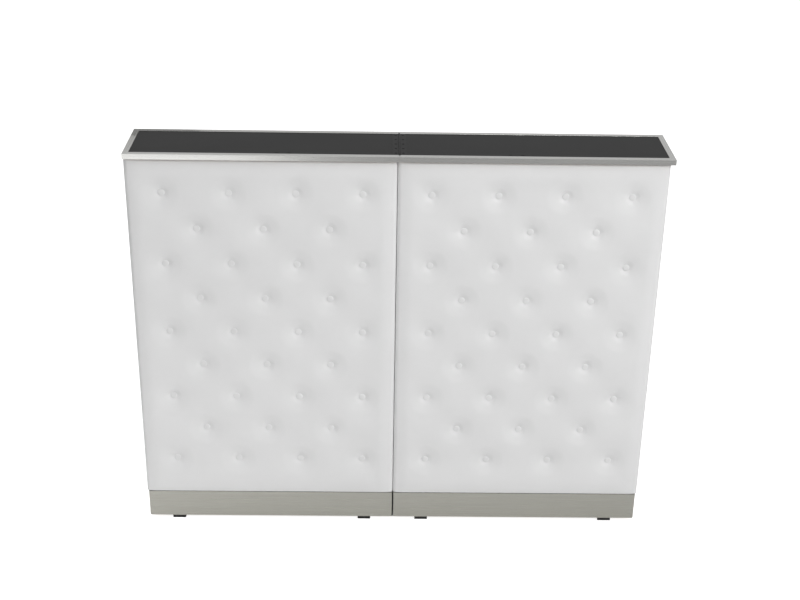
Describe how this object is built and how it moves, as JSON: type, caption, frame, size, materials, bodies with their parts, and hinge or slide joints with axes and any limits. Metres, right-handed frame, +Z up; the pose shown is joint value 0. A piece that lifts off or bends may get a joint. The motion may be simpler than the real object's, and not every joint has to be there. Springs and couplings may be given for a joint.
{
  "type": "portable bar",
  "caption": "Portable folding bar with button-tufted white vinyl fronts, brushed steel kick plates and trim, a black fold-over top and open shelves behind.",
  "frame": {"origin": "on the floor, at the seam of the sections and the middle of the bar top's depth", "axes": "+Z up, +X to the right of someone who faces the tufted front, front towards -Y"},
  "size_m": [1.5566, 0.218, 1.2223],
  "materials": {
    "vinyl_padding": "satin",
    "white_vinyl": "satin",
    "brushed_steel": "satin",
    "black_laminate": "satin",
    "core_board": "matte",
    "black_board": "satin",
    "plywood": "matte",
    "rubber": "matte",
    "zinc_steel": "satin",
    "black_metal": "satin",
    "nickel": "polished",
    "chrome": "polished",
    "beech": "matte"
  },
  "bodies": {
    "left_section": {"tufted_pad_left": "vinyl_padding", "tuft_buttons_left": "white_vinyl", "end_cover_left": "white_vinyl", "kick_plate_left": "brushed_steel", "bottle_rails_left": "brushed_steel", "bottom_board_left": "black_board", "front_board_left": "black_board", "inner_end_panel_left": "black_board", "outer_end_panel_left": "black_board", "top_board_left": "black_board", "shelves_left": "black_board", "plinth_rails_left": "plywood", "foot_blocks_left": "plywood", "rubber_feet_left": "rubber", "wood_screws_left": "zinc_steel", "shelf_pins_left": "zinc_steel", "fold_hinge_leaf_left": "black_metal", "fold_screws_left": "black_metal", "top_magnet_left": "nickel", "seam_magnets_left": "nickel", "handle_plate_left": "chrome", "fold_hinge_pin": "black_metal", "top_dowels": "beech"},
    "right_section": {"tufted_pad_right": "vinyl_padding", "tuft_buttons_right": "white_vinyl", "end_cover_right": "white_vinyl", "kick_plate_right": "brushed_steel", "bottle_rails_right": "brushed_steel", "bottom_board_right": "black_board", "front_board_right": "black_board", "inner_end_panel_right": "black_board", "outer_end_panel_right": "black_board", "top_board_right": "black_board", "shelves_right": "black_board", "plinth_rails_right": "plywood", "foot_blocks_right": "plywood", "rubber_feet_right": "rubber", "wood_screws_right": "zinc_steel", "shelf_pins_right": "zinc_steel", "fold_hinge_leaf_right": "black_metal", "fold_screws_right": "black_metal", "top_magnet_right": "nickel", "seam_magnets_right": "nickel", "handle_plate_right": "chrome"},
    "top_left": {"top_core_left": "core_board", "top_insert_left": "black_laminate", "top_trim_left": "brushed_steel", "keeper_plate_left": "zinc_steel", "top_screws_left": "black_metal", "top_hinge_leaf_left": "black_metal", "top_hinge_pin": "black_metal"},
    "top_right": {"top_core_right": "core_board", "top_insert_right": "black_laminate", "top_trim_right": "brushed_steel", "keeper_plate_right": "zinc_steel", "top_screws_right": "black_metal", "top_hinge_leaf_right": "black_metal"},
    "left_bail": {"handle_bail_left": "chrome"},
    "right_bail": {"handle_bail_right": "chrome"}
  },
  "joints": [
    {"name": "section_fold", "type": "hinge", "parent": "left_section", "child": "right_section", "pos_m": [0, 0.1033, 0.64], "axis": [0, 0, 1], "range_deg": [0, 180]},
    {"name": "top_lift", "type": "slide", "parent": "left_section", "child": "top_left", "axis": [0, 0, 1], "range_m": [0, 0.12]},
    {"name": "top_fold", "type": "hinge", "parent": "top_left", "child": "top_right", "pos_m": [0.005, 0, 1.2202], "axis": [0, -1, 0], "range_deg": [0, 180]},
    {"name": "left_bail_swing", "type": "hinge", "parent": "left_section", "child": "left_bail", "pos_m": [-0.7728, 0.0285, 0.8], "axis": [0, 1, 0], "range_deg": [0, 90]},
    {"name": "right_bail_swing", "type": "hinge", "parent": "right_section", "child": "right_bail", "pos_m": [0.7728, 0.0285, 0.8], "axis": [0, -1, 0], "range_deg": [0, 90]}
  ]
}
